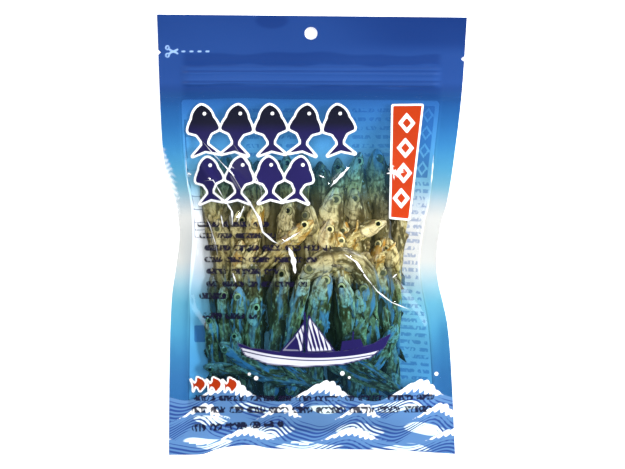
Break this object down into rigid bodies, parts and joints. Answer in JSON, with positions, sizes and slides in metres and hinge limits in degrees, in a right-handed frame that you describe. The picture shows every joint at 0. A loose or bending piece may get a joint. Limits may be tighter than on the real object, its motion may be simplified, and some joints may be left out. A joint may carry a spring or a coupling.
{
  "type": "pouch of dried anchovies",
  "caption": "Sealed clear pouch of whole dried anchovies with blue fading print, a header with a hang hole, tear notches and a reclosable zip, lying on its back.",
  "frame": {"origin": "under the middle of the pouch, on the surface that it lies on", "axes": "+X to the right across the printed front, +Y up the pouch to its header, +Z out of the front"},
  "size_m": [0.155, 0.22, 0.0313],
  "materials": {
    "printed_film": "glossy clear film with blue ink that fades to clear at the waist",
    "opaque_ink": "solid navy, white and red ink under a glossy film",
    "dried_fish": "dry wrinkled skin, olive on the back and silver on the belly"
  },
  "bodies": {
    "root": {"pouch": "printed_film"}
  },
  "joints": []
}
